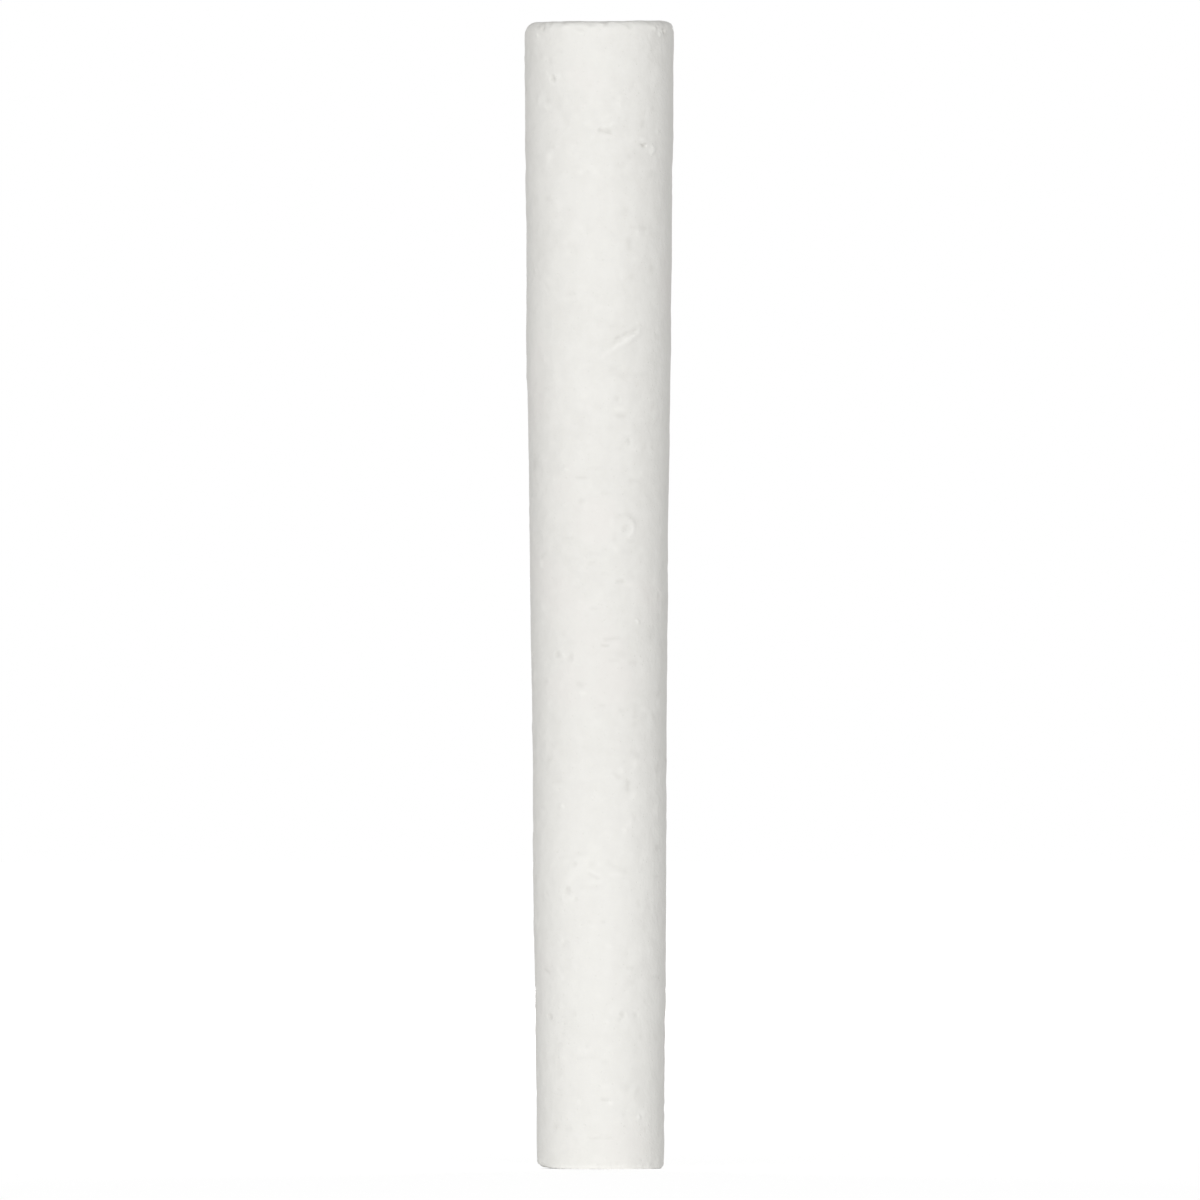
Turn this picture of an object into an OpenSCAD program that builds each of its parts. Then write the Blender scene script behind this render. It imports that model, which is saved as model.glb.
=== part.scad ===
// Blackboard chalk stick: one solid piece, cast in a mould that tapers so that the stick pushes out.
// It stands on the narrow end, which is the closed end of the mould. The wide end, where the plaster
// was poured in and scraped level, is on top. The origin is the centre of the narrow end's flat.

/* [Stick] */
// Length from the narrow end's flat to the wide end's flat
stick_length = 80; // [40:0.5:160]
// Diameter at the narrow end, where the side would meet the flat if the edge were sharp
narrow_d = 8.8; // [6:0.1:24]
// Diameter at the wide end, where the side would meet the flat if the edge were sharp
wide_d = 10.4; // [6:0.1:24]

/* [Worn edges] */
// Radius of the edge round the narrow end
narrow_edge_r = 0.6; // [0.1:0.05:1.4]
// Radius of the edge round the wide end
wide_edge_r = 0.9; // [0.1:0.05:1.4]

/* [Hidden] */

chalk_white = [0.93, 0.92, 0.90];
round_steps = 128;
// How deep the side's ends are tucked into the arcs, so that rounding leaves no step where they meet
tuck = 0.0001;

// Angle that the side leans out from the axis
taper = atan((wide_d - narrow_d) / 2 / stick_length);

// Radius of the side at height z
function side_r(z) = narrow_d / 2 + z * tan(taper);

// Centre of the arc that rounds an edge of radius r at height z. It touches both the end's flat and
// the side. inward is 1 at the narrow end, where the stick lies above the flat, and -1 at the wide end.
function arc_centre(z, r, inward) = [side_r(z + inward * r) - r / cos(taper), z + inward * r];

// Point just inside the arc of radius r about centre, where the side runs into it
function side_point(centre, r) = centre + (r - tuck) * [cos(taper), -sin(taper)];

// Half of the lengthwise section. The outline takes in both arc centres, and each disc then fills
// its own corner with a true arc.
module half_section() {
    low = arc_centre(0, narrow_edge_r, 1);
    high = arc_centre(stick_length, wide_edge_r, -1);
    polygon([
        [0, 0],
        [low.x, 0],
        low,
        side_point(low, narrow_edge_r),
        side_point(high, wide_edge_r),
        high,
        [high.x, stick_length],
        [0, stick_length]
    ]);
    translate(low) circle(r = narrow_edge_r, $fn = round_steps);
    translate(high) circle(r = wide_edge_r, $fn = round_steps);
}

// The stick, solid all through
module stick() {
    color(chalk_white) rotate_extrude($fn = round_steps) half_section();
}

stick();
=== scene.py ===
import math
import random

import bmesh
import bpy
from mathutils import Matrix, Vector, kdtree, noise


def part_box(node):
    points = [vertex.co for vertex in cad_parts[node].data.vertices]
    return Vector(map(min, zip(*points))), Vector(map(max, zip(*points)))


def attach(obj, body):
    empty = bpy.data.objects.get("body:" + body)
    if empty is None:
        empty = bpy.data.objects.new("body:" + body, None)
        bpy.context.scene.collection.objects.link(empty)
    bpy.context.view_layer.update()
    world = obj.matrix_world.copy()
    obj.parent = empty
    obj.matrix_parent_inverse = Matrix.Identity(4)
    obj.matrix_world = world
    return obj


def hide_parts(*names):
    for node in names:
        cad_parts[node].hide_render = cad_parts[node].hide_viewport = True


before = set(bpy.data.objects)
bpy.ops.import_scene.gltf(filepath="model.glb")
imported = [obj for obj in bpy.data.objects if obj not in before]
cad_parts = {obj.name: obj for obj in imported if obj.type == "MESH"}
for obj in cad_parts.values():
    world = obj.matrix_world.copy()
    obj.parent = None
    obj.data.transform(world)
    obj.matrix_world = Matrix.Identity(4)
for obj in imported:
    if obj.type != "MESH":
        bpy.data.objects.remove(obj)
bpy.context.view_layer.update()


# ---- The stick ----------------------------------------------------------------------------------
# Blackboard chalk: plaster and chalk powder stirred with water and poured into a tapered mould.
# The wide end is scraped level while wet, and the set stick is pushed out. It is one dry, matt body:
# air bubbles leave pits in its skin, and its edges crumble where sticks knock together in the box.

# Sizes are in millimetres until the mesh is finished, and angles go round from the front in degrees.
MM = 0.001
foot_corner, top_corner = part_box("stick")
LENGTH = (top_corner.z - foot_corner.z) / MM
NARROW_R = 4.4
WIDE_R = 5.2
NARROW_EDGE_R = 0.6
WIDE_EDGE_R = 0.9

# How finely the mesh is cut: across each rim's arc, along the stick and round it
EDGE_STEPS = 6
CELL = 0.28
ROUND_STEPS = 112
# A point this close to the plane of an end lies on its flat
FLAT_SLACK = 0.01

DRAFT = math.atan2(WIDE_R - NARROW_R, LENGTH)
NARROW_TANGENT = NARROW_EDGE_R * math.tan((math.pi / 2 - DRAFT) / 2)
WIDE_TANGENT = WIDE_EDGE_R * math.tan((math.pi / 2 + DRAFT) / 2)
NARROW_ARC = Vector((NARROW_R - NARROW_TANGENT, NARROW_EDGE_R))
WIDE_ARC = Vector((WIDE_R - WIDE_TANGENT, LENGTH - WIDE_EDGE_R))


def side_r(height):
    """The moulded side's radius at a height."""
    return NARROW_R + (WIDE_R - NARROW_R) * height / LENGTH


def on_side(height, angle):
    """The point of the side at a height and an angle."""
    turn = math.radians(angle)
    return Vector((side_r(height) * math.sin(turn), -side_r(height) * math.cos(turn), height))


def on_end(height, angle, out):
    """The point of an end's flat, or of a rim, at an angle and a distance out from the middle."""
    turn = math.radians(angle)
    return Vector((out * math.sin(turn), -out * math.cos(turn), height))


def seated(point):
    """Where a point lies on the true turned form, and the direction that faces outward there."""
    out = math.hypot(point.x, point.y)
    if out < CELL / 2:
        return point.copy(), Vector((0, 0, 1 if point.z > LENGTH / 2 else -1))
    across = Vector((point.x / out, point.y / out, 0))
    section = Vector((out, point.z))
    for arc, radius, beyond in ((NARROW_ARC, NARROW_EDGE_R, -1), (WIDE_ARC, WIDE_EDGE_R, 1)):
        past_arc = (point.z - arc.y) * beyond
        if past_arc > 0 and out > arc.x:
            away = (section - arc).normalized()
            section = arc + away * radius
            return across * section.x + Vector((0, 0, section.y)), across * away.x + Vector((0, 0, away.y))
        if past_arc > radius - FLAT_SLACK:
            return point.copy(), Vector((0, 0, beyond))
    facing = across * math.cos(DRAFT) - Vector((0, 0, math.sin(DRAFT)))
    return across * side_r(point.z) + Vector((0, 0, point.z)), facing


# Air pits: height, angle, radius and depth
PITS = [
    (75.9, -39, 0.36, 0.08), (74.4, -45, 0.3, 0.02), (69.35, -9, 0.26, 0.02), (75.4, -8, 0.24, 0.02),
    (53.6, 15, 0.36, 0.04), (50.6, 25, 0.34, 0.04), (50.2, 49, 0.3, 0.02), (40.0, 59, 0.3, 0.03),
    (35.8, -39, 0.36, 0.05), (35.6, -26, 0.42, 0.04), (21.2, -23, 0.3, 0.04), (19.4, -30, 0.46, 0.05),
    (19.1, -53, 0.3, 0.02), (18.8, -22, 0.26, 0.03), (20.2, -75, 0.4, 0.03), (11.6, 45, 0.34, 0.02),
    (10.6, -51, 0.38, 0.06), (10.75, 20, 0.32, 0.05), (10.75, 33, 0.32, 0.04), (79.3, 60, 0.26, 0.06),
    (44.55, 22, 0.42, 0.04),
]
# Grains and crumbs that stand proud and are painted lighter, the two at the wide end's right corner also as
# painted light on its shaded rounding: height, angle, radius and how far out
GRAINS = [
    (70.9, 47, 0.46, 0.06), (76.2, -45, 0.3, 0.03), (76.0, -34, 0.28, 0.03), (72.6, 9, 0.22, 0.04),
    (72.2, 52, 0.24, 0.05), (48.7, -29, 0.24, 0.05), (46.4, -11, 0.2, 0.03), (35.8, -33, 0.22, 0.05),
    (38.1, 33, 0.24, 0.06), (25.25, -35, 0.26, 0.05), (23.6, 22, 0.36, 0.03), (23.4, 6, 0.34, 0.02),
    (3.6, 37, 0.28, 0.06), (79.45, 48, 0.24, 0.07), (79.0, 54, 0.22, 0.05), (79.5, -60, 0.22, 0.05),
    (78.95, -56, 0.24, 0.05),
]
# Scrapes: height and angle of the middle, length, slant up to the right, half width, depth, and how high
# the chalk they moved stands as a burr, below the groove or, with a minus, above it
SCRAPES = [
    (57.59, 17, 3.5, 31, 0.3, 0.04, 0.13), (72.3, 5, 1.15, -17, 0.22, 0.1, -0.01),
    (71.4, 36, 0.8, -8, 0.2, 0.12, -0.03), (79.3, 58, 0.7, -60, 0.24, 0.05, 0.03),
    (79.35, -51, 0.6, -72, 0.26, 0.05, 0.02), (40.8, 18, 0.8, -4, 0.22, 0.07, 0.01),
    (36.35, 4, 0.8, -3, 0.15, 0.06, 0.01), (2.1, 0, 1.75, 0, 0.13, 0.05, 0.01),
]
# Soft patches: height and angle of the middle, length, slant up to the right, half width, and how much
# lighter or, with a minus, darker the skin there is painted. Most stand for dust and open skin; the light
# ones at the foot's corners are painted light on their shade, and the dark ones along the long scrape and at
# the wide end's left rim are painted shade.
PATCHES = [
    (77.1, -41, 0.6, 90, 0.15, -0.28), (77.3, -46, 0.4, 90, 0.21, 0.46), (73.9, -47, 0.6, -35, 0.2, 1.0),
    (74.35, -54, 0.5, 80, 0.2, 0.8), (74.2, -34, 1.0, 90, 0.3, -0.2), (74.3, -6, 0.6, 0, 0.3, 0.34),
    (72.7, 36, 0.6, 90, 0.19, -0.5), (71.65, 36, 0.6, 0, 0.12, 0.69), (70.75, 29, 0.5, 45, 0.22, -0.28),
    (70.4, 24, 0.4, 20, 0.2, -0.4), (69.85, 17, 0.9, 30, 0.25, -0.21), (70.5, -44, 0.7, 0, 0.32, 0.92),
    (71.1, -42, 0.8, 0, 0.12, -0.21), (75.3, 26, 0.9, 60, 0.14, -0.28), (74.35, 16, 0.8, 85, 0.2, 0.52),
    (74.5, 11, 0.4, 90, 0.15, -0.21), (73.8, 47, 0.4, 0, 0.18, -0.25), (76.2, 51, 1.2, 90, 0.22, 0.57),
    (77.8, 46, 1.5, 90, 0.32, -0.25), (69.2, 45, 0.8, 60, 0.18, -0.31), (77.2, 28, 0.3, 0, 0.15, -0.25),
    (69.35, -15, 0.4, 90, 0.2, 0.6), (69.35, -3, 0.4, 90, 0.2, 0.55), (66.6, 20, 0.7, 60, 0.28, -0.28),
    (65.5, 33, 1.5, -4, 0.13, -0.26), (64.35, 24, 1.0, -80, 0.2, -0.36), (63.4, 30, 0.5, 30, 0.2, 0.46),
    (62.65, 46, 0.6, 90, 0.23, -0.4), (62.1, 26, 0.4, 0, 0.18, -0.25), (65.4, -8, 0.6, 70, 0.25, -0.2),
    (64.1, -22, 1.0, -15, 0.2, -0.14), (60.75, -2, 0.4, 60, 0.15, -0.22), (67.5, -45, 0.5, 90, 0.25, -0.25),
    (59.0, 33, 0.8, 80, 0.14, 0.4), (52.85, 16, 0.8, 0, 0.18, 0.8), (52.4, 17, 0.7, 0, 0.16, -0.39),
    (53.1, 50, 0.8, 80, 0.25, -0.31), (51.25, 24, 0.5, 0, 0.2, 0.46), (50.05, 28, 0.5, 30, 0.2, 0.63),
    (49.0, -66, 1.1, 60, 0.41, -0.42), (55.1, -40, 0.5, 80, 0.12, 0.57), (53.95, -13, 0.5, 0, 0.3, 0.46),
    (52.35, -47, 0.3, 0, 0.16, -0.31), (48.1, -15, 0.9, 0, 0.12, -0.39), (48.75, -5, 1.0, 0, 0.1, -0.21),
    (47.9, 29, 0.8, -10, 0.15, -0.28), (46.5, -15, 0.45, 20, 0.18, -0.39), (47.05, 5, 0.8, 0, 0.12, -0.21),
    (55.25, 26, 2.0, 2, 0.2, -0.22), (55.65, 10, 0.4, 40, 0.18, -0.22), (42.1, -57, 0.5, 90, 0.18, 0.92),
    (42.7, -54, 0.7, 35, 0.15, -0.35), (40.85, 12, 0.4, 0, 0.16, 0.4), (40.7, 26, 0.5, 0, 0.18, 0.52),
    (41.2, 29, 0.3, 0, 0.14, -0.25), (38.45, 59, 0.6, 80, 0.25, -0.31), (37.35, 49, 1.0, 90, 0.32, -0.31),
    (36.9, 10, 1.2, 8, 0.14, -0.42), (35.9, 17, 0.9, 0, 0.3, -0.21), (35.25, 29, 0.7, 0, 0.2, -0.33),
    (35.4, 12, 0.8, 0, 0.12, -0.21), (37.2, -33, 0.3, 0, 0.15, -0.28), (36.65, -25, 0.8, 0, 0.2, -0.2),
    (42.85, -6, 0.6, 0, 0.12, -0.25), (42.2, -7, 0.6, 20, 0.12, -0.31), (43.9, -27, 0.9, 5, 0.12, -0.21),
    (33.7, -17, 0.6, -30, 0.2, -0.35), (33.1, -15, 0.5, 0, 0.15, 0.69), (32.25, 2, 0.5, 0, 0.12, -0.28),
    (31.9, 18, 0.4, 20, 0.2, -0.35), (31.9, 31, 1.2, 88, 0.2, -0.3), (30.95, 31, 0.4, 0, 0.2, -0.35),
    (31.95, 39, 0.4, 0, 0.2, 0.52), (33.05, 58, 0.4, 90, 0.28, -0.35), (31.5, 53, 0.4, 0, 0.2, -0.35),
    (33.9, -53, 0.4, 90, 0.23, -0.28), (34.0, -48, 0.5, 80, 0.16, 0.46), (32.2, -48, 1.0, 90, 0.24, 0.52),
    (28.9, 31, 0.9, -30, 0.2, -0.28), (28.2, 32, 0.5, 80, 0.2, 0.69), (28.35, 21, 0.35, 70, 0.15, -0.31),
    (27.4, 14, 0.8, -40, 0.15, -0.28), (27.7, 19, 0.4, 0, 0.2, 0.69), (26.65, 24, 0.85, 88, 0.17, -0.6),
    (26.0, 30, 0.6, 80, 0.2, 1.0), (27.9, 59, 0.8, 80, 0.27, -0.56), (24.9, 57, 0.7, 90, 0.34, 0.8),
    (28.5, -47, 0.4, 90, 0.24, -0.28), (27.0, -38, 0.8, 0, 0.18, -0.21), (24.05, 26, 0.8, 40, 0.2, 0.46),
    (29.0, 64, 0.5, 80, 0.32, -0.28), (22.35, 59, 0.5, 90, 0.29, -0.6), (20.8, -20, 2.5, 45, 0.35, 0.4),
    (21.4, -31, 0.5, 0, 0.15, 0.4), (22.0, -32, 0.9, 0, 0.14, 0.28), (20.6, -6, 1.0, -25, 0.16, 0.56),
    (20.5, 13, 0.9, 0, 0.14, 0.42), (20.0, -5, 0.9, 0, 0.16, 0.32), (18.75, -33, 0.6, -35, 0.14, 0.4),
    (18.85, -26, 0.6, 40, 0.14, 0.4), (21.2, -1, 0.4, 90, 0.15, 0.4), (20.4, -6, 0.9, -30, 0.14, -0.3),
    (21.0, 14, 1.7, -24, 0.2, -0.2), (19.6, -10, 1.4, 0, 0.16, -0.18), (21.2, -8, 0.5, 90, 0.22, -0.25),
    (21.95, -17, 1.0, 0, 0.15, -0.22), (18.45, 35, 0.6, 90, 0.16, -0.35), (18.3, 49, 0.4, 0, 0.2, -0.21),
    (17.2, 2, 0.3, 30, 0.14, -0.31), (17.2, -10, 0.3, 0, 0.15, -0.21), (20.35, 59, 0.7, 0, 0.1, -0.3),
    (16.1, -37, 0.6, -60, 0.2, 0.46), (15.7, -33, 0.7, 60, 0.12, -0.25), (15.55, 7, 0.5, 0, 0.2, 0.46),
    (15.4, 33, 1.0, 0, 0.3, 0.34), (15.3, 48, 0.6, 60, 0.26, 0.57), (14.0, 27, 0.6, 0, 0.12, -0.31),
    (13.8, -55, 0.8, -25, 0.1, -0.42), (13.35, 58, 0.9, 0, 0.14, -0.3), (13.0, 29, 0.7, 0, 0.25, -0.2),
    (13.6, -38, 1.0, -55, 0.12, 0.4), (10.2, -45, 0.4, 0, 0.16, -0.21), (11.3, -36, 0.4, 0, 0.16, 0.46),
    (10.8, -23, 0.4, 90, 0.1, -0.22), (10.4, 17, 0.4, 45, 0.12, -0.2), (10.25, 6, 0.35, 0, 0.18, 0.69),
    (9.2, 39, 0.5, 80, 0.18, -0.28), (9.1, 58, 0.6, 60, 0.31, -0.28), (8.55, -12, 0.3, 0, 0.14, -0.31),
    (9.4, -35, 0.3, 0, 0.15, -0.28), (8.7, -40, 0.6, 0, 0.14, -0.21), (7.45, 3, 0.5, 0, 0.2, -0.22),
    (7.75, -10, 1.6, 0, 0.15, -0.14), (6.9, -40, 1.2, 90, 0.2, -0.21), (5.75, 5, 0.8, 0, 0.2, 0.4),
    (5.7, 24, 0.7, 90, 0.2, -0.2), (5.5, 36, 0.5, 0, 0.18, -0.12), (5.5, -39, 0.5, 0, 0.18, -0.21),
    (4.85, 4, 0.6, 0, 0.11, -0.42), (4.6, 9, 0.35, 0, 0.13, 1.0), (4.65, -20, 0.4, 80, 0.14, 0.57),
    (3.15, 46, 0.3, 0, 0.16, 0.52), (2.8, 43, 0.4, 0, 0.15, -0.22), (3.0, -44, 0.5, 0, 0.2, -0.28),
    (2.8, -30, 0.6, 0, 0.15, -0.22), (3.5, -3, 1.0, 0, 0.35, 0.29), (43.0, 24, 1.0, 0, 0.25, -0.21),
    (43.15, 13, 0.5, 90, 0.2, 0.46), (43.95, 12, 0.7, 90, 0.15, -0.21), (44.9, 10, 0.7, 90, 0.22, 0.4),
    (43.7, 26, 0.6, 0, 0.12, -0.31), (79.2, 62, 0.9, -75, 0.3, -0.6), (79.1, 70, 0.6, 90, 0.2, 0.5),
    (78.4, 48, 1.4, 90, 0.3, -0.2), (78.0, 54, 1.0, 90, 0.22, 0.4), (79.5, 46, 0.3, 0, 0.16, 0.9),
    (79.05, 54, 0.3, 45, 0.18, 0.5), (79.55, 24.4, 0.5, 0, 0.22, -0.4), (79.4, -50, 0.4, -60, 0.24, -0.6),
    (79.1, -15, 0.5, 0, 0.12, 0.5), (79.35, -15, 0.5, 0, 0.1, -0.4), (77.5, -52, 0.5, 90, 0.3, -0.25),
    (78.6, -58, 0.5, 80, 0.25, 0.5), (57.82, 15, 0.55, 31, 0.15, -0.55), (58.08, 21, 0.5, 31, 0.14, -0.5),
    (58.36, 29, 0.5, 31, 0.16, -0.6), (58.08, 22, 1.6, 31, 0.12, -0.25), (72.26, 7, 0.5, -20, 0.16, -0.5),
    (72.7, 10, 0.3, 60, 0.14, 0.8), (79.1, -58, 0.8, 0, 0.35, 0.5), (74.35, -44, 0.3, 0, 0.24, -0.4),
    (71.33, 39, 0.35, -10, 0.13, -0.6), (29.3, -57, 1.6, 90, 0.3, 0.3), (57.95, 53, 0.4, 0, 0.2, -0.28),
    (67.1, -35, 0.9, 80, 0.3, 0.3), (67.05, 13, 0.5, 0, 0.22, 0.3), (61.4, -46, 0.8, -60, 0.14, -0.25),
    (60.9, -24, 0.9, 20, 0.16, -0.22), (58.65, 10, 0.5, 0, 0.16, -0.22), (37.4, -48, 0.9, 90, 0.3, 0.3),
    (39.0, -5, 0.6, 0, 0.14, -0.25), (41.45, 4, 0.5, 0, 0.12, -0.25), (41.0, 53, 0.9, 90, 0.2, 0.3),
    (44.4, 62, 0.6, 90, 0.3, 0.4), (42.6, 63, 0.8, 90, 0.26, 0.4), (39.0, -55, 0.5, 90, 0.24, 0.4),
    (19.2, -54, 0.3, 0, 0.2, -0.35), (16.9, 42, 0.8, 90, 0.18, -0.25), (3.8, 21, 0.3, 0, 0.14, -0.28),
    (0.22, -70, 1.5, 0, 0.4, 1.0), (0.2, 66, 0.7, 0, 0.3, 0.7), (79.6, -53.5, 0.9, 0, 0.2, -0.6),
    (79.6, 53.5, 0.3, 90, 0.14, -0.5),
]
# Swells and hollows left by the worn mould: height, angle, reach up, reach round and how far out
SWELLS = [
    (70, -90, 4, 40, 0.04), (61, -90, 4, 40, 0.05), (57.6, -90, 2, 40, 0.09), (52, -90, 7, 45, 0.07),
    (38, -90, 7, 45, 0.05), (21, -90, 6, 45, 0.07), (10, -90, 5, 45, 0.04), (1.5, -90, 2, 45, 0.05),
    (72.5, 90, 2, 40, 0.04), (46, 90, 3, 40, -0.03), (40, 90, 10, 45, -0.09), (33, 90, 4, 45, -0.03),
    (24, 90, 6, 45, -0.04), (11, 90, 2, 40, 0.04), (62, 190, 5, 45, -0.05), (40, 170, 5, 50, 0.05),
    (17, 180, 4, 45, 0.05), (54.8, -90, 1.6, 30, 0.03), (16.6, -90, 0.7, 30, 0.04),
    (40.3, 90, 0.8, 30, 0.05), (9.8, 90, 0.9, 30, -0.05),
]
# The round trace of a burst bubble about its pit: a raised lip on one side, and a moat outside it. The
# headings, in radians up from the right, say where each is strongest.
RING_HEIGHT = 44.6
RING_ANGLE = 22
LIP_R = 0.56
LIP_WIDTH = 0.18
LIP_OUT = 0.03
LIP_HEADING = -0.25
LIP_TAPER = 0.7
LIP_DUST = 0.9
MOAT_R = 0.95
MOAT_WIDTH = 0.16
MOAT_DEPTH = 0.03
MOAT_HEADING = 1.1
MOAT_PAINTED_SHADE = 0.3

# The back and the far sides carry the same kinds of marks, scattered from a fixed seed. Heights keep a
# gap from both ends, and the other sizes are drawn from a range or picked from a choice.
dice = random.Random(31)

HIDDEN_PITS = 30
PIT_END_GAP = 2
PIT_ANGLES = (78, 282)
PIT_RADII = (0.26, 0.46)
PIT_DEPTHS = (0.03, 0.04, 0.06, 0.08, 0.12)
for _ in range(HIDDEN_PITS):
    PITS.append((
        dice.uniform(PIT_END_GAP, LENGTH - PIT_END_GAP), dice.uniform(*PIT_ANGLES),
        dice.uniform(*PIT_RADII), dice.choice(PIT_DEPTHS),
    ))

HIDDEN_PATCHES = 130
PATCH_END_GAP = 1
PATCH_ANGLES = (72, 288)
PATCH_LENGTHS = (0.3, 1.2)
PATCH_SLANTS = (-90, 90)
PATCH_HALF_WIDTHS = (0.12, 0.3)
PATCH_STRENGTHS = (-0.35, -0.25, -0.15, 0.3, 0.5, 0.8)
for _ in range(HIDDEN_PATCHES):
    PATCHES.append((
        dice.uniform(PATCH_END_GAP, LENGTH - PATCH_END_GAP), dice.uniform(*PATCH_ANGLES),
        dice.uniform(*PATCH_LENGTHS), dice.uniform(*PATCH_SLANTS),
        dice.uniform(*PATCH_HALF_WIDTHS), dice.choice(PATCH_STRENGTHS),
    ))

HIDDEN_SCRAPES = 9
SCRAPE_END_GAP = 3
SCRAPE_ANGLES = (85, 275)
SCRAPE_LENGTHS = (0.5, 2.4)
SCRAPE_SLANTS = (-50, 50)
SCRAPE_HALF_WIDTHS = (0.14, 0.3)
SCRAPE_DEPTHS = (0.03, 0.08)
BURR_HEIGHTS = (0.07, 0.04, -0.05)
for _ in range(HIDDEN_SCRAPES):
    SCRAPES.append((
        dice.uniform(SCRAPE_END_GAP, LENGTH - SCRAPE_END_GAP), dice.uniform(*SCRAPE_ANGLES),
        dice.uniform(*SCRAPE_LENGTHS), dice.uniform(*SCRAPE_SLANTS),
        dice.uniform(*SCRAPE_HALF_WIDTHS), dice.uniform(*SCRAPE_DEPTHS), dice.choice(BURR_HEIGHTS),
    ))

# Bites where the wide end's edge has crumbled in front: how far below the end, angle, how far in from
# the side, reach and depth
FRONT_BITES = [
    (0.08, -53, 0.3, 0.50, 0.07), (0.08, -44, 0.3, 0.40, 0.05), (0.08, -30, 0.3, 0.36, 0.06),
    (0.08, -6, 0.3, 0.40, 0.04), (0.08, 5, 0.3, 0.50, 0.07), (0.08, 43, 0.3, 0.34, 0.05),
    (0.08, 64, 0.3, 0.40, 0.08), (0.08, 74, 0.3, 0.36, 0.08), (0.08, -78, 0.3, 0.40, 0.07),
    (0.35, 24.4, 0.05, 0.36, 0.06),
]
bites = [
    (on_end(LENGTH - below, angle, WIDE_R - inset), reach, depth)
    for below, angle, inset, reach, depth in FRONT_BITES
]

# Smaller bites behind, some of them in the narrow end's edge. Small ones come up most often, and the
# depth of each is a share of its reach.
HIDDEN_BITES = 30
BITE_REACH = 0.16
BITE_REACH_MORE = 0.5
BITE_ANGLES = (95, 265)
BITE_OFF_END = (0, 0.5)
BITE_INSET = 0.05
BITE_DEPTH_SHARE = 0.16
NARROW_END_SHARE = 0.4
for _ in range(HIDDEN_BITES):
    bite_reach = BITE_REACH + BITE_REACH_MORE * dice.random() ** 2
    bite_angle = dice.uniform(*BITE_ANGLES)
    off_end = dice.uniform(*BITE_OFF_END)
    if dice.random() < NARROW_END_SHARE:
        rim_point = on_end(off_end, bite_angle, NARROW_R - BITE_INSET)
    else:
        rim_point = on_end(LENGTH - off_end, bite_angle, WIDE_R - BITE_INSET)
    bites.append((seated(rim_point)[0], bite_reach, BITE_DEPTH_SHARE * bite_reach))

# Open bubbles scattered over the scraped flat of the wide end
BUBBLES = 14
BUBBLES_OUT = 4.0
BUBBLE_R = 0.12
BUBBLE_R_MORE = 0.24
BUBBLE_DEPTH_SHARE = 0.25
bubbles = []
for _ in range(BUBBLES):
    place = on_end(LENGTH, dice.uniform(0, 360), BUBBLES_OUT * math.sqrt(dice.random()))
    bubble_r = BUBBLE_R + BUBBLE_R_MORE * dice.random() ** 2
    bubbles.append((place, bubble_r, BUBBLE_DEPTH_SHARE * bubble_r))


def refine(mesh, spots, spare):
    """Cut each face that lies within a spot's reach into four."""
    centres = kdtree.KDTree(len(mesh.faces))
    mesh.faces.ensure_lookup_table()
    for face in mesh.faces:
        centres.insert(face.calc_center_median(), face.index)
    centres.balance()
    close = {found[1] for point, reach in spots for found in centres.find_range(point, reach + spare)}
    edges = {edge for index in close for edge in mesh.faces[index].edges}
    bmesh.ops.subdivide_edges(mesh, edges=list(edges), cuts=1, use_grid_fill=True)


# Half the stick's outline, with both rims rounded and its long edges cut up, is spun into the whole form
LONG_EDGE = 1
WELD_GAP = 0.001
form = bmesh.new()
outline = [form.verts.new(point) for point in (
    (0, 0, 0), (NARROW_R, 0, 0), (WIDE_R, 0, LENGTH), (0, 0, LENGTH),
)]
for pair in zip(outline, outline[1:]):
    form.edges.new(pair)
for sharp_corner, tangent in ((outline[1], NARROW_TANGENT), (outline[2], WIDE_TANGENT)):
    bmesh.ops.bevel(
        form, geom=[sharp_corner], offset=tangent, segments=EDGE_STEPS, profile=0.5,
        affect="VERTICES", material=-1,
    )
form.edges.ensure_lookup_table()
for edge in [edge for edge in form.edges if edge.calc_length() > LONG_EDGE]:
    bmesh.ops.subdivide_edges(form, edges=[edge], cuts=round(edge.calc_length() / CELL) - 1)
bmesh.ops.spin(
    form, geom=form.verts[:] + form.edges[:], cent=(0, 0, 0), axis=(0, 0, 1),
    angle=2 * math.pi, steps=ROUND_STEPS, use_merge=True,
)
bmesh.ops.remove_doubles(form, verts=form.verts, dist=WELD_GAP)
bmesh.ops.recalc_face_normals(form, faces=form.faces)

# Smaller faces along both rims and at every mark, so that each mark is real relief in the mesh. The
# crisp front of the foot, pits, grains and scrapes are cut finer than the soft patches and the rims.
WIDE_RIM_REACH = 0.9
NARROW_RIM_REACH = 0.8
CRISP_REACH = 0.3
CRISP_INSET = 0.1
SPOT_STEP = 0.25
SPOT_REACH_SHARE = 1.3
COARSE_MARGIN = 0.2
rim_spots = []
crisp_spots = []
for step in range(ROUND_STEPS):
    rim_angle = 360 * step / ROUND_STEPS
    rim_spots.append((on_end(LENGTH, rim_angle, WIDE_R), WIDE_RIM_REACH))
    rim_spots.append((on_end(0, rim_angle, NARROW_R), NARROW_RIM_REACH))
    if math.cos(math.radians(rim_angle)) > 0:
        crisp_spots.append((on_end(CRISP_INSET, rim_angle, NARROW_R - CRISP_INSET), CRISP_REACH))
mark_spots = [(on_side(height, angle), radius) for height, angle, radius, _ in PITS + GRAINS]
mark_spots += [(point, radius) for point, radius, _ in bubbles]
mark_spots.append((on_side(RING_HEIGHT, RING_ANGLE), LIP_R + LIP_WIDTH))
patch_spots = []
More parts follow.
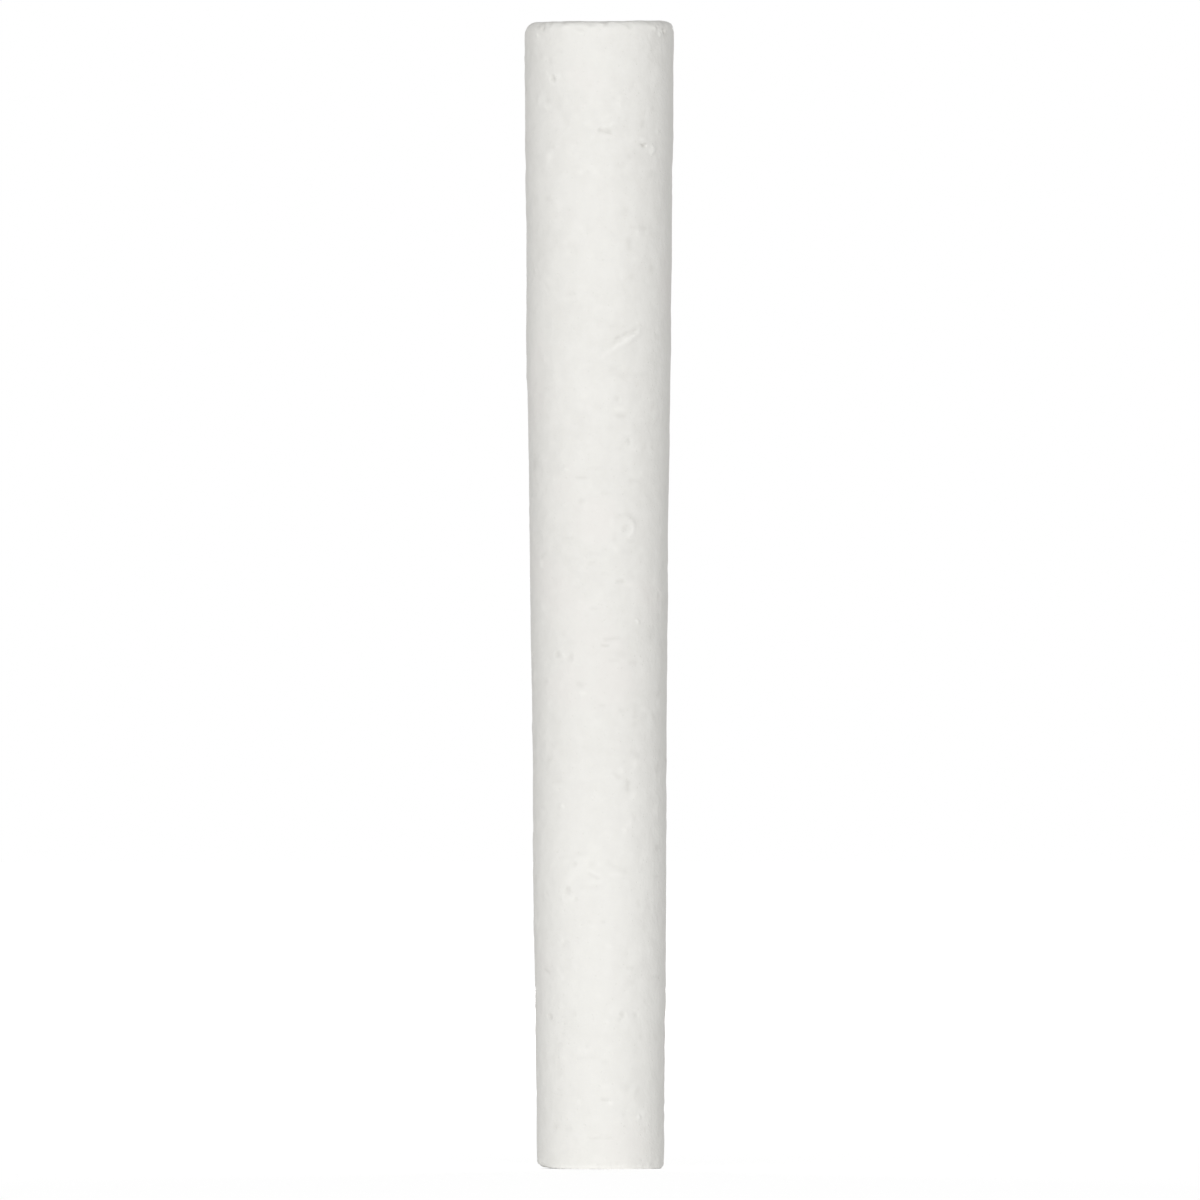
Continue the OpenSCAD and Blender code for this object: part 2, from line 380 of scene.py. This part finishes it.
for spots, marks in ((mark_spots, SCRAPES), (patch_spots, PATCHES)):
    for height, angle, length, slant, half_width, *_ in marks:
        steps = math.ceil(length / SPOT_STEP)
        for step in range(steps + 1):
            along = length * (step / steps - 0.5)
            rise = along * math.sin(math.radians(slant))
            round_by = math.degrees(along * math.cos(math.radians(slant)) / side_r(height))
            spots.append((on_side(height + rise, angle + round_by), half_width * SPOT_REACH_SHARE))
coarse_spots = [(point, reach + COARSE_MARGIN) for point, reach in mark_spots]
refine(form, rim_spots + patch_spots + coarse_spots, CELL / 2)
refine(form, crisp_spots + mark_spots, CELL / 4)

# For every point of the mesh: where it lies on the plain form, which way that faces, how deep it is
# sunk, how much painted shade and dark tone it takes, and how much dust and painted light
form.verts.ensure_lookup_table()
places = []
facings = []
near = kdtree.KDTree(len(form.verts))
for vert in form.verts:
    place, facing = seated(vert.co)
    places.append(place)
    facings.append(facing)
    near.insert(place, vert.index)
near.balance()
sunk = [0.0] * len(places)
# Painted shade and dark spots: how much darker each point is painted, as painted shade in pits, bites,
# grooves and the moat, and for darker patches and lines
painted_shade_and_dark_spots = [0.0] * len(places)
# Dust and painted light: how much lighter each point is painted, on dusty lips, grains and burrs and as
# painted light on shaded rims and corners
dust_and_painted_light = [0.0] * len(places)

# A mark this deep takes as much painted shade as its kind gets, and one this proud is as dusty
FULL_PAINTED_SHADE_DEPTH = 0.12
FULL_DUST_HEIGHT = 0.08


def bell(value, middle, width):
    """1 at the middle, and smoothly less on both sides of it, over about the width."""
    return math.exp(-((value - middle) / width) ** 2)


def along_and_across(place, height, angle, slant):
    """How far a place is along and across a line that slants up to the right through a side's point."""
    turn = math.radians(angle)
    lean = math.radians(slant)
    step = place - on_side(height, angle)
    right = step.dot(Vector((math.cos(turn), math.sin(turn), 0)))
    along = right * math.cos(lean) + step.z * math.sin(lean)
    across = step.z * math.cos(lean) - right * math.sin(lean)
    return along, across


# A pit's pushed up lip, in shares of its radius: where it is highest, how wide it is and where it ends
PIT_LIP_AT = 1.05
PIT_LIP_WIDTH = 0.28
PIT_LIP_END = 1.9
# How whole the lip is, how much that changes and how finely, and how finely the pit's outline wavers
PIT_LIP_WHOLE = 0.5
PIT_LIP_CHANGE = 0.9
PIT_LIP_FINE = 1.9
OUTLINE_FINE = 2.9
OUTLINE_FINER = 6.1


def press(point, radius, depth, lip, raggedness):
    """Press a rounded pit into the skin, with a lip pushed up about it. A negative depth raises a grain."""
    for place, index, distance in near.find_range(point, radius * PIT_LIP_END):
        ragged = noise.noise((place + point) * OUTLINE_FINE) + noise.noise((place - point) * OUTLINE_FINER)
        reach = distance / (radius * (1 + raggedness * ragged))
        bowl = (1 - reach ** 2) ** 2 if reach < 1 else 0
        whole = PIT_LIP_WHOLE + PIT_LIP_CHANGE * noise.noise(place * PIT_LIP_FINE + point)
        pushed = bell(reach, PIT_LIP_AT, PIT_LIP_WIDTH) * whole
        sunk[index] += depth * (bowl - lip * pushed)
        if depth > 0:
            # Painted shade: the bowl of a pit, bite or bubble is painted darker, the more so the deeper it
            # is
            painted_shade_and_dark_spots[index] = max(painted_shade_and_dark_spots[index], bowl * min(1, depth / FULL_PAINTED_SHADE_DEPTH))
            dust_and_painted_light[index] = max(dust_and_painted_light[index], lip * pushed * min(1, depth / FULL_DUST_HEIGHT))
        else:
            dust_and_painted_light[index] = max(dust_and_painted_light[index], bowl * min(1, -depth / FULL_DUST_HEIGHT))


# A scrape across its line, in shares of its half width: where its groove and burr are, how far it
# wanders and where it ends. Its slopes fall steeply, but the burr's outer one gently.
GROOVE_AT = 0.55
BURR_AT = -0.6
WANDER = 0.4
SCRAPE_END = 2.5
STEEP = 3
GENTLE = 1.2
# How finely it wanders, and how whole its groove is, how much that changes and how finely
WANDER_FINE = 1.7
GROOVE_WHOLE = 0.6
GROOVE_CHANGE = 1.5
GROOVE_FINE = 2.1


def scrape(height, angle, length, slant, half_width, depth, burr_height):
    """Drag a groove across the skin, with the chalk it moved left as a burr along one side."""
    side = math.copysign(1, burr_height)
    reach = length / 2 + half_width * SCRAPE_END
    for place, index, _ in near.find_range(on_side(height, angle), reach):
        along, off_line = along_and_across(place, height, angle, slant)
        wander = WANDER * half_width * noise.noise(place * WANDER_FINE)
        across = side * (off_line + wander) / half_width
        fade = max(0, 1 - abs(2 * along / length) ** 3)
        change = GROOVE_CHANGE * noise.noise(Vector((along * GROOVE_FINE, height, angle)))
        whole = min(1, max(0, GROOVE_WHOLE + change))
        groove = fade * whole * math.exp(-(across - GROOVE_AT) ** 2 * STEEP)
        slope = STEEP if across > BURR_AT else GENTLE
        burr = fade * (0.5 + 0.5 * whole) * math.exp(-(across - BURR_AT) ** 2 * slope)
        sunk[index] += depth * groove - abs(burr_height) * burr
        # Painted shade: the groove is painted darker, the more so the deeper it is
        painted_shade_and_dark_spots[index] = max(painted_shade_and_dark_spots[index], groove * min(1, depth / FULL_PAINTED_SHADE_DEPTH))
        dust_and_painted_light[index] = max(dust_and_painted_light[index], burr * min(1, abs(burr_height) / FULL_DUST_HEIGHT))


# How far the strongest patch is raised or sunk, and how ragged its outline is and how finely
PATCH_RELIEF = 0.02
PATCH_RAGGEDNESS = 0.35
PATCH_FINE = 3.1


def patch(height, angle, length, slant, half_width, strength):
    """Leave a soft patch, painted lighter and lightly raised, or with a negative strength painted darker and
    lightly sunk.
    """
    for place, index, _ in near.find_range(on_side(height, angle), length / 2 + half_width):
        along, across = along_and_across(place, height, angle, slant)
        past_end = max(0, abs(along) - length / 2 + half_width)
        ragged = PATCH_RAGGEDNESS * noise.noise(place * PATCH_FINE)
        reach = math.hypot(past_end, across) / half_width + ragged
        spread = math.exp(-reach * abs(reach))
        sunk[index] -= PATCH_RELIEF * strength * spread
        if strength > 0:
            dust_and_painted_light[index] = max(dust_and_painted_light[index], strength * spread)
        else:
            painted_shade_and_dark_spots[index] = max(painted_shade_and_dark_spots[index], -strength * spread)


# All the marks in turn. Each kind of pit has its own lip, as a share of its depth, and raggedness.
for height, angle, radius, depth in PITS:
    press(on_side(height, angle), radius, depth, lip=0.12, raggedness=0.3)
for height, angle, radius, proud in GRAINS:
    press(on_side(height, angle), radius, -proud, lip=0, raggedness=0.4)
for point, radius, depth in bubbles:
    press(point, radius, depth, lip=0.1, raggedness=0.35)
for point, reach, depth in bites:
    press(point, reach, depth, lip=0.1, raggedness=0.6)
for mark in SCRAPES:
    scrape(*mark)
for mark in PATCHES:
    patch(*mark)
for place, index, distance in near.find_range(on_side(RING_HEIGHT, RING_ANGLE), MOAT_R + 2 * MOAT_WIDTH):
    right, up = along_and_across(place, RING_HEIGHT, RING_ANGLE, 0)
    heading = math.atan2(up, right)
    lip = bell(distance, LIP_R, LIP_WIDTH) * max(0, math.cos(heading - LIP_HEADING)) ** LIP_TAPER
    moat = bell(distance, MOAT_R, MOAT_WIDTH) * max(0, math.cos(heading - MOAT_HEADING))
    sunk[index] += MOAT_DEPTH * moat - LIP_OUT * lip
    dust_and_painted_light[index] = max(dust_and_painted_light[index], LIP_DUST * lip)
    # Painted shade: the moat is painted darker; the lip is dusty
    painted_shade_and_dark_spots[index] = max(painted_shade_and_dark_spots[index], MOAT_PAINTED_SHADE * moat)

# Layers of unevenness: how deep, how fine, and a shift that keeps each layer apart from the others
MOULD_WAVES = [(0.035, 0.13, (0, 0, 0)), (0.012, 0.45, (9, 2, 4))]
SKIN_GRITS = [(0.028, 0.9, (0, 0, 0)), (0.017, 1.8, (3, 8, 1))]
TORN_PLACES = [(1.6, 0.33, (2, 7, 5))]
RIM_CRUMBS = [(1, 2.6, (0, 0, 0)), (0.7, 5.3, (1, 5, 2))]


def uneven(place, layers):
    """How deep the layers together go at a place."""
    return sum(depth * noise.noise(place * fine + Vector(shift)) for depth, fine, shift in layers)


# The cast skin: broad waves of the worn mould, and a finer grit that is rougher where the skin is torn.
# The two flats have the grit alone.
WHOLE_GRIT = 0.4
TORN_GRIT = 1.2
FLAT_FACING = 0.99
for index, (place, facing) in enumerate(zip(places, facings)):
    around = math.degrees(math.atan2(place.x, -place.y))
    torn = min(1, max(0, 0.5 + uneven(place, TORN_PLACES)))
    grit = (WHOLE_GRIT + TORN_GRIT * torn) * uneven(place, SKIN_GRITS)
    wave = uneven(place, MOULD_WAVES)
    for height, angle, reach_up, reach_round, out in SWELLS:
        turned = (around - angle + 180) % 360 - 180
        wave += out * math.exp(-((place.z - height) / reach_up) ** 2 - (turned / reach_round) ** 2)
    sunk[index] -= grit if abs(facing.z) > FLAT_FACING else wave + grit

# The rims crumble a little, and a lighter band along each is both dust and painted light on their shaded
# rounding. Crispness 2 is the plain round arc and more is squarer. Both rims gain some towards the front
# and at the right, and the wide one loses some at the left.
RIMS = [
    {
        "height": LENGTH, "r": WIDE_R, "edge_r": WIDE_EDGE_R, "beyond": 1,
        "wear": 0.05, "dust_and_light_at": 0.2, "dust_and_light_width": 0.45,
        "front_gain": 0.8, "front_power": 0.5, "left_power": 0, "left_loss": 0.35, "right_gain": 0.3,
    },
    {
        "height": 0, "r": NARROW_R, "edge_r": NARROW_EDGE_R, "beyond": -1,
        "wear": 0.03, "dust_and_light_at": 0.25, "dust_and_light_width": 0.06,
        "front_gain": 60, "front_power": 2.2, "left_power": 3, "left_loss": 0, "right_gain": 0.6,
    },
]
PLAIN_CRISPNESS = 2
RIM_REACH = 1.2
CRUMBS_AT = 0.2
CRUMBS_WIDTH = 0.45
RIM_DUST_AND_PAINTED_LIGHT = 0.5
CRUMB_DUST = 0.35
LEAST_ENDWARD = 0.02
for index, (place, facing) in enumerate(zip(places, facings)):
    turn = math.atan2(place.x, -place.y)
    front = max(0, math.cos(turn))
    left = max(0, -math.sin(turn))
    right = max(0, math.sin(turn))
    for rim in RIMS:
        off_rim = math.hypot(math.hypot(place.x, place.y) - rim["r"], place.z - rim["height"])
        if off_rim > RIM_REACH:
            continue
        crumbs = uneven(place, RIM_CRUMBS)
        sunk[index] += rim["wear"] * bell(off_rim, CRUMBS_AT, CRUMBS_WIDTH) * crumbs
        # Dust and painted light: a lighter band along the rim
        rim_dust_and_light_band = bell(off_rim, rim["dust_and_light_at"], rim["dust_and_light_width"])
        dust_and_painted_light[index] = max(dust_and_painted_light[index], rim_dust_and_light_band * (RIM_DUST_AND_PAINTED_LIGHT + CRUMB_DUST * max(0, crumbs)))
        front_part = rim["front_gain"] * front ** (rim["front_power"] + rim["left_power"] * left)
        crispness = PLAIN_CRISPNESS + front_part - rim["left_loss"] * left ** 4 + rim["right_gain"] * right
        endward = facing.z * rim["beyond"]
        if endward > LEAST_ENDWARD:
            sideward = math.sqrt(max(0, 1 - endward ** 2))
            corner = (sideward ** crispness + endward ** crispness) ** (-1 / crispness)
            sunk[index] -= rim["edge_r"] * (corner - 1)

# The wide end is scraped level by hand, so it slopes down to the left, waves a little and dips by its
# middle, and all this fades out below it
END_REACH = 3.0
END_SLOPE = 0.1
END_SINK = 0.03
END_WAVE = 0.03
END_WAVE_FINE = 0.5
END_DIP = 0.06
END_DIP_AT = 0.7
END_DIP_WIDTH = 1.3
# The blade leaves fine lines across the flat. Where a line stands up it is dusty, and between them dark.
SCRAPED_FACING = 0.9
BLADE_RIGHT = 0.34
BLADE_BACK = 0.94
LINES_PER_MM = 1.5
LINE_DRIFT = 0.2
LINE_SHIFT = 7
LINE_DEPTH = 0.025
LINE_DUST = 1.2
LINE_DARK = 0.5
# The foot is worn up at its left, and the whole stick bows a little
FOOT_REACH = 1.5
FOOT_WEAR = 0.12
FOOT_WEAR_WIDTH = 1.4
BOW = 0.045
for vert, place, facing, depth in zip(form.verts, places, facings, sunk):
    vert.co = place - facing * depth
    near_end = max(0, 1 - (LENGTH - place.z) / END_REACH)
    lowered = near_end * near_end * (3 - 2 * near_end)
    drop = END_SLOPE * (0.5 - 0.5 * place.x / WIDE_R) + END_SINK
    drop += END_WAVE * noise.noise(place * END_WAVE_FINE)
    drop += END_DIP * bell(place.x, END_DIP_AT, END_DIP_WIDTH)
    vert.co.z -= lowered * max(0, drop)
    near_foot = max(0, 1 - place.z / FOOT_REACH)
    vert.co.z += FOOT_WEAR * near_foot ** 2 * bell(place.x, -NARROW_R, FOOT_WEAR_WIDTH)
    if facing.z > SCRAPED_FACING:
        over_lines = place.x * BLADE_RIGHT + place.y * BLADE_BACK
        line = noise.noise(Vector((over_lines * LINES_PER_MM, place.x * LINE_DRIFT, LINE_SHIFT)))
        vert.co.z -= LINE_DEPTH * (1 + line)
        dust_and_painted_light[vert.index] = max(dust_and_painted_light[vert.index], LINE_DUST * line)
        painted_shade_and_dark_spots[vert.index] = max(painted_shade_and_dark_spots[vert.index], -LINE_DARK * line)
    vert.co.x += BOW * math.cos(math.pi * place.z / LENGTH)
    vert.co.z = min(max(vert.co.z, 0), LENGTH)

painted_shade_and_dark_spots_layer = form.verts.layers.float.new("painted_shade_and_dark_spots")
dust_and_painted_light_layer = form.verts.layers.float.new("dust_and_painted_light")
for vert in form.verts:
    vert[painted_shade_and_dark_spots_layer] = painted_shade_and_dark_spots[vert.index]
    vert[dust_and_painted_light_layer] = dust_and_painted_light[vert.index]

# The crisp front of the foot stays a crease in the shading
CREASE = math.radians(35)
for face in form.faces:
    face.smooth = True
form.normal_update()
for edge in form.edges:
    edge.smooth = edge.calc_face_angle(0) < CREASE
bmesh.ops.triangulate(form, faces=[face for face in form.faces if len(face.verts) > 4])
bmesh.ops.scale(form, vec=(MM, MM, MM), verts=form.verts)

stick_mesh = bpy.data.meshes.new("chalk_stick")
form.to_mesh(stick_mesh)
form.free()
stick = bpy.data.objects.new("chalk_stick", stick_mesh)
bpy.context.scene.collection.objects.link(stick)


class Tone:
    """One value, colour or vector in a material's tree, so that sums on it are written as Python."""

    def __init__(self, tree, socket):
        self.tree = tree
        self.socket = socket

    def node(self, kind, settings, sockets, output=0):
        """Add a node to the tree: its settings first, then the values or links of its sockets."""
        made = self.tree.nodes.new(kind)
        for name, setting in settings.items():
            setattr(made, name, setting)
        for name, value in sockets.items():
            if isinstance(value, Tone):
                self.tree.links.new(value.socket, made.inputs[name])
            else:
                made.inputs[name].default_value = value
        return Tone(self.tree, made.outputs[output])

    def maths(self, operation, first, second):
        """One step of arithmetic on two values."""
        return self.node("ShaderNodeMath", {"operation": operation}, {0: first, 1: second})

    def __add__(self, other):
        return self.maths("ADD", self, other)

    def __radd__(self, other):
        return self.maths("ADD", other, self)

    def __sub__(self, other):
        return self.maths("SUBTRACT", self, other)

    def __rsub__(self, other):
        return self.maths("SUBTRACT", other, self)

    def __mul__(self, other):
        return self.maths("MULTIPLY", self, other)

    def __rmul__(self, other):
        return self.maths("MULTIPLY", other, self)

    def rise(self, low, high):
        """A mask that goes smoothly from 0 at the low value to 1 at the high one."""
        settings = {"interpolation_type": "SMOOTHSTEP"}
        return self.node("ShaderNodeMapRange", settings, {"Value": self, "From Min": low, "From Max": high})

    def cloud(self, size, detail, stretch=(1, 1, 1)):
        """Soft cloudy noise on this vector, from 0 to 1, with lumps of about the given size."""
        scale = [part / size for part in stretch]
        turned = self.node("ShaderNodeMapping", {}, {"Vector": self, "Scale": scale})
        return self.node("ShaderNodeTexNoise", {}, {"Vector": turned, "Scale": 1, "Detail": detail})

    def between(self, first, second):
        """The colour between two others, as this mask goes from 0 to 1. Sockets 6 and 7 take colours."""
        return self.node("ShaderNodeMix", {"data_type": "RGBA"}, {0: self, 6: first, 7: second}, 2)


CHALK_BODY = (0.846, 0.837, 0.804, 1)
CHALK_DENSE = (0.815, 0.805, 0.771, 1)
CHALK_WARM = (0.842, 0.822, 0.792, 1)
CHALK_DUST_AND_PAINTED_LIGHT = (0.920, 0.911, 0.876, 1)
CHALK_PAINTED_SHADE_AND_DARK = (0.600, 0.586, 0.550, 1)
# How strongly each kind of place takes the colour of warm chalk, of dust and painted light, and of the dark
# chalk colour that paints shade in pores and hollows and tints darker spots
WARM_IN_CLOUDS = 0.6
DUST_IN_CLOUDS = 0.12
DUST_AND_PAINTED_LIGHT_WEIGHT = 0.75
PAINTED_LIGHT_ON_LOW_PART = 0.3
PAINTED_SHADE_IN_PORES = 0.1
PAINTED_SHADE_AND_DARK_SPOTS_WEIGHT = 0.6
PORES_PER_MM = 2.2
FINE_RELIEF = 0.03

cast_chalk = bpy.data.materials.new("cast_chalk")
cast_chalk.use_nodes = True
chalk_tree = cast_chalk.node_tree
chalk_shader = chalk_tree.nodes["Principled BSDF"]
chalk_shader.inputs["Specular IOR Level"].default_value = 0.25

# The object's own coordinates in millimetres, clouds and pores laid out in them, and the marks' tones
chalk_start = Tone(chalk_tree, None)
object_place = chalk_start.node("ShaderNodeTexCoord", {}, {}, "Object")
in_mm = chalk_start.node("ShaderNodeVectorMath", {"operation": "SCALE"}, {0: object_place, "Scale": 1 / MM})
up_stick = chalk_start.node("ShaderNodeSeparateXYZ", {}, {0: in_mm}, "Z")
cloudy = in_mm.cloud(size=3.5, detail=3)
warm_cloud = in_mm.cloud(size=7, detail=1)
patchy = in_mm.cloud(size=0.9, detail=3)
lumpy = in_mm.cloud(size=0.6, detail=1)
grain = in_mm.cloud(size=0.16, detail=2)
off_pore = chalk_start.node("ShaderNodeTexVoronoi", {}, {"Vector": in_mm, "Scale": PORES_PER_MM}, "Distance")
pores = 1 - off_pore.rise(low=0.05, high=0.16)
in_painted_shade_and_dark_spots = chalk_start.node("ShaderNodeAttribute", {"attribute_name": "painted_shade_and_dark_spots"}, {}, "Fac")
on_dust_and_painted_light = chalk_start.node("ShaderNodeAttribute", {"attribute_name": "dust_and_painted_light"}, {}, "Fac")

unevenness = 0.4 * cloudy + 0.45 * patchy + 0.15 * grain
colour = unevenness.rise(low=0.3, high=0.6).between(CHALK_DENSE, CHALK_BODY)
warmth = warm_cloud.rise(low=0.55, high=0.7) * WARM_IN_CLOUDS
colour = warmth.between(colour, CHALK_WARM)
# Painted light: below about 20 to 32 mm up, the stick is painted lighter, standing for more light from below
painted_light_low_part = 1 - up_stick.rise(low=20, high=32)
dusty_cloud = patchy.rise(low=0.5, high=0.75)
dust_and_painted_light_mix = dusty_cloud * DUST_IN_CLOUDS + on_dust_and_painted_light * DUST_AND_PAINTED_LIGHT_WEIGHT + painted_light_low_part * PAINTED_LIGHT_ON_LOW_PART
colour = dust_and_painted_light_mix.between(colour, CHALK_DUST_AND_PAINTED_LIGHT)
# Painted shade: pores and marked hollows are painted darker, and the darker patches and lines share the same
# dark colour
painted_shade_and_dark_mix = PAINTED_SHADE_IN_PORES * pores + PAINTED_SHADE_AND_DARK_SPOTS_WEIGHT * in_painted_shade_and_dark_spots
colour = painted_shade_and_dark_mix.between(colour, CHALK_PAINTED_SHADE_AND_DARK)
chalk_tree.links.new(colour.socket, chalk_shader.inputs["Base Color"])
roughness = 0.9 + 0.08 * patchy
chalk_tree.links.new(roughness.socket, chalk_shader.inputs["Roughness"])
relief = 1.4 * lumpy + 0.3 * grain - 0.4 * pores
bump_height = {"Height": relief, "Strength": 1, "Distance": FINE_RELIEF * MM}
bump = chalk_start.node("ShaderNodeBump", {}, bump_height)
chalk_tree.links.new(bump.socket, chalk_shader.inputs["Normal"])
stick_mesh.materials.append(cast_chalk)

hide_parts("stick")
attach(stick, "root")


# ---- Floor, air and lamps ---------------------------------------------------------------------------
# The stick stands on a wide white studio floor under an even white sky. Only what the camera, gloss
# and glass see of floor and sky is lifted to white, so the light on the stick stays plain and soft.
FLOOR_R = 3.5
FLOOR_STEPS = 96
FLOOR_COLOUR = (0.94, 0.94, 0.94, 1)
NO_LIFT = (0, 0, 0, 1)
NEAR_LIFT = (0.46, 0.46, 0.46, 1)
FAR_LIFT = (0.62, 0.62, 0.62, 1)
SKY_LIGHT = (0.47, 0.47, 0.47, 1)
WHITE = (1, 1, 1, 1)

floor_form = bmesh.new()
bmesh.ops.create_circle(floor_form, cap_ends=True, segments=FLOOR_STEPS, radius=FLOOR_R)
floor_mesh = bpy.data.meshes.new("floor")
floor_form.to_mesh(floor_mesh)
floor_form.free()
floor = bpy.data.objects.new("floor", floor_mesh)
bpy.context.scene.collection.objects.link(floor)


def seen_rays(tree):
    """1 for a ray from the camera or one that gloss or glass sends on, and 0 for the light itself."""
    start = Tone(tree, None)
    rays = [start.node("ShaderNodeLightPath", {}, {}, ray) for ray in (
        "Is Camera Ray", "Is Glossy Ray", "Is Transmission Ray",
    )]
    return start.maths("MINIMUM", rays[0] + rays[1] + rays[2], 1)


floor_paint = bpy.data.materials.new("white_floor")
floor_paint.use_nodes = True
floor_tree = floor_paint.node_tree
floor_shader = floor_tree.nodes["Principled BSDF"]
floor_shader.inputs["Base Color"].default_value = FLOOR_COLOUR
floor_shader.inputs["Roughness"].default_value = 1
floor_shader.inputs["Specular IOR Level"].default_value = 0
floor_shader.inputs["Emission Strength"].default_value = 1
floor_start = Tone(floor_tree, None)
floor_place = floor_start.node("ShaderNodeTexCoord", {}, {}, "Object")
off_stick = floor_start.node("ShaderNodeVectorMath", {"operation": "LENGTH"}, {0: floor_place}, "Value")
floor_lift = off_stick.rise(low=0.1, high=1.2).between(NEAR_LIFT, FAR_LIFT)
floor_lift = seen_rays(floor_tree).between(NO_LIFT, floor_lift)
floor_tree.links.new(floor_lift.socket, floor_shader.inputs["Emission Color"])
floor_mesh.materials.append(floor_paint)

sky = bpy.data.worlds.new("white_sky")
bpy.context.scene.world = sky
sky.use_nodes = True
sky_tree = sky.node_tree
sky_shader = sky_tree.nodes["Background"]
sky_colour = seen_rays(sky_tree).between(SKY_LIGHT, WHITE)
sky_tree.links.new(sky_colour.socket, sky_shader.inputs["Color"])


def soft_lamp(name, azimuth, elevation, distance, width, height, power):
    """A broad panel lamp aimed at the stick's middle, placed by its angle round from the front."""
    panel = bpy.data.lights.new(name, "AREA")
    panel.shape = "RECTANGLE"
    panel.size = width
    panel.size_y = height
    panel.energy = power
    lamp = bpy.data.objects.new(name, panel)
    turn = math.radians(azimuth)
    lift = math.radians(elevation)
    away = Vector((math.sin(turn) * math.cos(lift), -math.cos(turn) * math.cos(lift), math.sin(lift)))
    lamp.location = Vector((0, 0, LENGTH * MM / 2)) + away * distance
    lamp.rotation_mode = "QUATERNION"
    lamp.rotation_quaternion = (-away).to_track_quat("-Z", "Y")
    lamp.visible_camera = False
    bpy.context.scene.collection.objects.link(lamp)


soft_lamp("front_lamp", azimuth=-6, elevation=3, distance=1.6, width=1.2, height=0.24, power=14.0)
soft_lamp("back_lamp", azimuth=178, elevation=8, distance=1.4, width=1.4, height=0.4, power=9.0)


# ---- Camera -----------------------------------------------------------------------------------------
# A long lens square on to the stick's front and well back, level with its middle, so that the sides
# run straight and neither end shows more than its rim.
VIEW_HEIGHT = 0.0836
CAMERA_DISTANCE = 3.0
AIM_HEIGHT = 0.0396
SENSOR_WIDTH = 36
FARTHEST = 20

eye = bpy.data.cameras.new("camera")
eye.sensor_width = SENSOR_WIDTH
eye.lens = SENSOR_WIDTH * CAMERA_DISTANCE / VIEW_HEIGHT
eye.clip_end = FARTHEST
camera = bpy.data.objects.new("camera", eye)
camera.location = (0, -CAMERA_DISTANCE, AIM_HEIGHT)
camera.rotation_euler = (math.pi / 2, 0, 0)
bpy.context.scene.collection.objects.link(camera)
bpy.context.scene.camera = camera
bpy.context.scene.view_settings.view_transform = "Standard"
